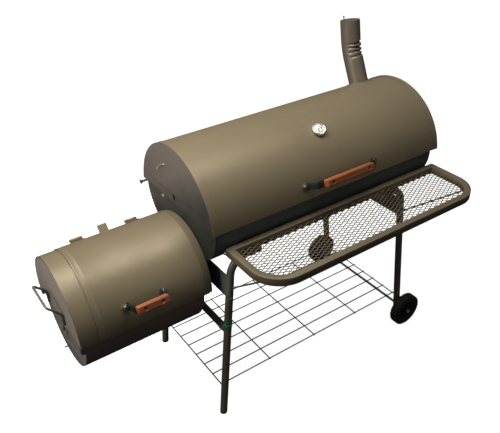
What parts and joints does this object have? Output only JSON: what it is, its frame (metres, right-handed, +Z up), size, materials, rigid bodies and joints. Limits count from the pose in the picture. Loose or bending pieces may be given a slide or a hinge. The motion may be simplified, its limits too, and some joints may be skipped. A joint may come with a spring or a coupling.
{
  "type": "offset smoker",
  "caption": "Offset barrel smoker: round cooking chamber with a hinged lid, elbow flue, side firebox, front mesh shelf, bottom rack and wheels.",
  "frame": {"origin": "centre of the object's footprint box, on the ground under the feet and wheels", "axes": "+X along the barrel from the firebox to the wheels, -Y to the front where the shelf and the handles are, +Z up"},
  "size_m": [1.4318, 0.7423, 1.1754],
  "materials": {
    "olive_paint": "satin",
    "black_paint": "satin",
    "grey_paint": "satin",
    "grate_iron": "matte",
    "zinc": "satin",
    "wood": "satin",
    "dial_face": "satin",
    "needle": "satin",
    "lens": "gloss",
    "tyre_rubber": "matte",
    "black_plastic": "matte",
    "green_tape": "gloss"
  },
  "bodies": {
    "frame": {"axle": "black_paint", "bottom_rack": "black_paint", "chamber_left_end": "black_paint", "chamber_right_end": "black_paint", "chamber_shell": "black_paint", "charcoal_grate": "grate_iron", "cooking_grate_left": "grate_iron", "cooking_grate_right": "grate_iron", "cradle_left": "black_paint", "cradle_right": "black_paint", "firebox_clip_front": "black_paint", "firebox_clip_rear": "black_paint", "firebox_end_handle": "black_paint", "firebox_hinge_base_left": "olive_paint", "firebox_hinge_base_right": "olive_paint", "firebox_hood": "olive_paint", "firebox_left_end": "grey_paint", "firebox_lid_stop": "grey_paint", "firebox_right_end": "black_paint", "firebox_shell": "black_paint", "foot_cap_front": "black_plastic", "foot_cap_rear": "black_plastic", "leg_band": "green_tape", "leg_front_left": "black_paint", "leg_front_right": "black_paint", "leg_rear_left": "black_paint", "leg_rear_right": "black_paint", "lid_hinge_rod": "black_paint", "shelf_brace_left": "black_paint", "shelf_brace_right": "black_paint", "shelf_mesh": "olive_paint", "shelf_rim": "olive_paint", "tie_tube": "black_paint"},
    "chamber_lid": {"chamber_lid_skin": "olive_paint", "lid_cap_left": "olive_paint", "lid_cap_right": "olive_paint", "lid_strap_left": "black_paint", "lid_strap_right": "black_paint", "lid_handle_bracket_left": "black_paint", "lid_handle_bracket_right": "black_paint", "lid_handle_grip": "wood", "thermometer_bezel": "zinc", "thermometer_dial": "dial_face", "thermometer_lens": "lens", "thermometer_stem": "zinc", "flue_collar": "olive_paint", "flue_pipe": "olive_paint"},
    "flue_cap": {"flue_cap": "olive_paint"},
    "thermometer_needle": {"thermometer_needle": "needle"},
    "firebox_lid": {"firebox_lid": "olive_paint", "firebox_hinge_leaf_left": "olive_paint", "firebox_hinge_leaf_right": "olive_paint", "firebox_handle_bracket_left": "black_paint", "firebox_handle_bracket_right": "black_paint", "firebox_handle_grip": "wood"},
    "air_vent": {"air_vent": "grey_paint"},
    "wheel_front": {"tyre_front": "tyre_rubber", "hub_front": "black_plastic"},
    "wheel_rear": {"tyre_rear": "tyre_rubber", "hub_rear": "black_plastic"}
  },
  "joints": [
    {"name": "chamber_lid_hinge", "type": "hinge", "parent": "frame", "child": "chamber_lid", "pos_m": [0.2361, 0.3231, 0.7353], "axis": [-1, 0, 0], "range_deg": [0, 95]},
    {"name": "flue_cap_pivot", "type": "hinge", "parent": "chamber_lid", "child": "flue_cap", "pos_m": [0.5786, 0.24062, 1.15462], "axis": [0, 0.1564, 0.9877], "range_deg": [0, 110]},
    {"name": "thermometer_needle_turn", "type": "hinge", "parent": "chamber_lid", "child": "thermometer_needle", "pos_m": [0.2344, -0.04099, 0.93022], "axis": [0, 0.5231, -0.8523], "range_deg": [0, 240]},
    {"name": "firebox_lid_hinge", "type": "hinge", "parent": "frame", "child": "firebox_lid", "pos_m": [-0.4292, 0.20844, 0.67779], "axis": [-1, 0, 0], "range_deg": [0, 140]},
    {"name": "air_vent_pivot", "type": "hinge", "parent": "frame", "child": "air_vent", "pos_m": [-0.66, 0.0751, 0.4953], "axis": [1, 0, 0], "range_deg": [-10, 14]},
    {"name": "wheel_front_turn", "type": "hinge", "parent": "frame", "child": "wheel_front", "pos_m": [0.6158, -0.18215, 0.0675], "axis": [0, 1, 0], "continuous": true},
    {"name": "wheel_rear_turn", "type": "hinge", "parent": "frame", "child": "wheel_rear", "pos_m": [0.6158, 0.34435, 0.0675], "axis": [0, 1, 0], "continuous": true}
  ]
}
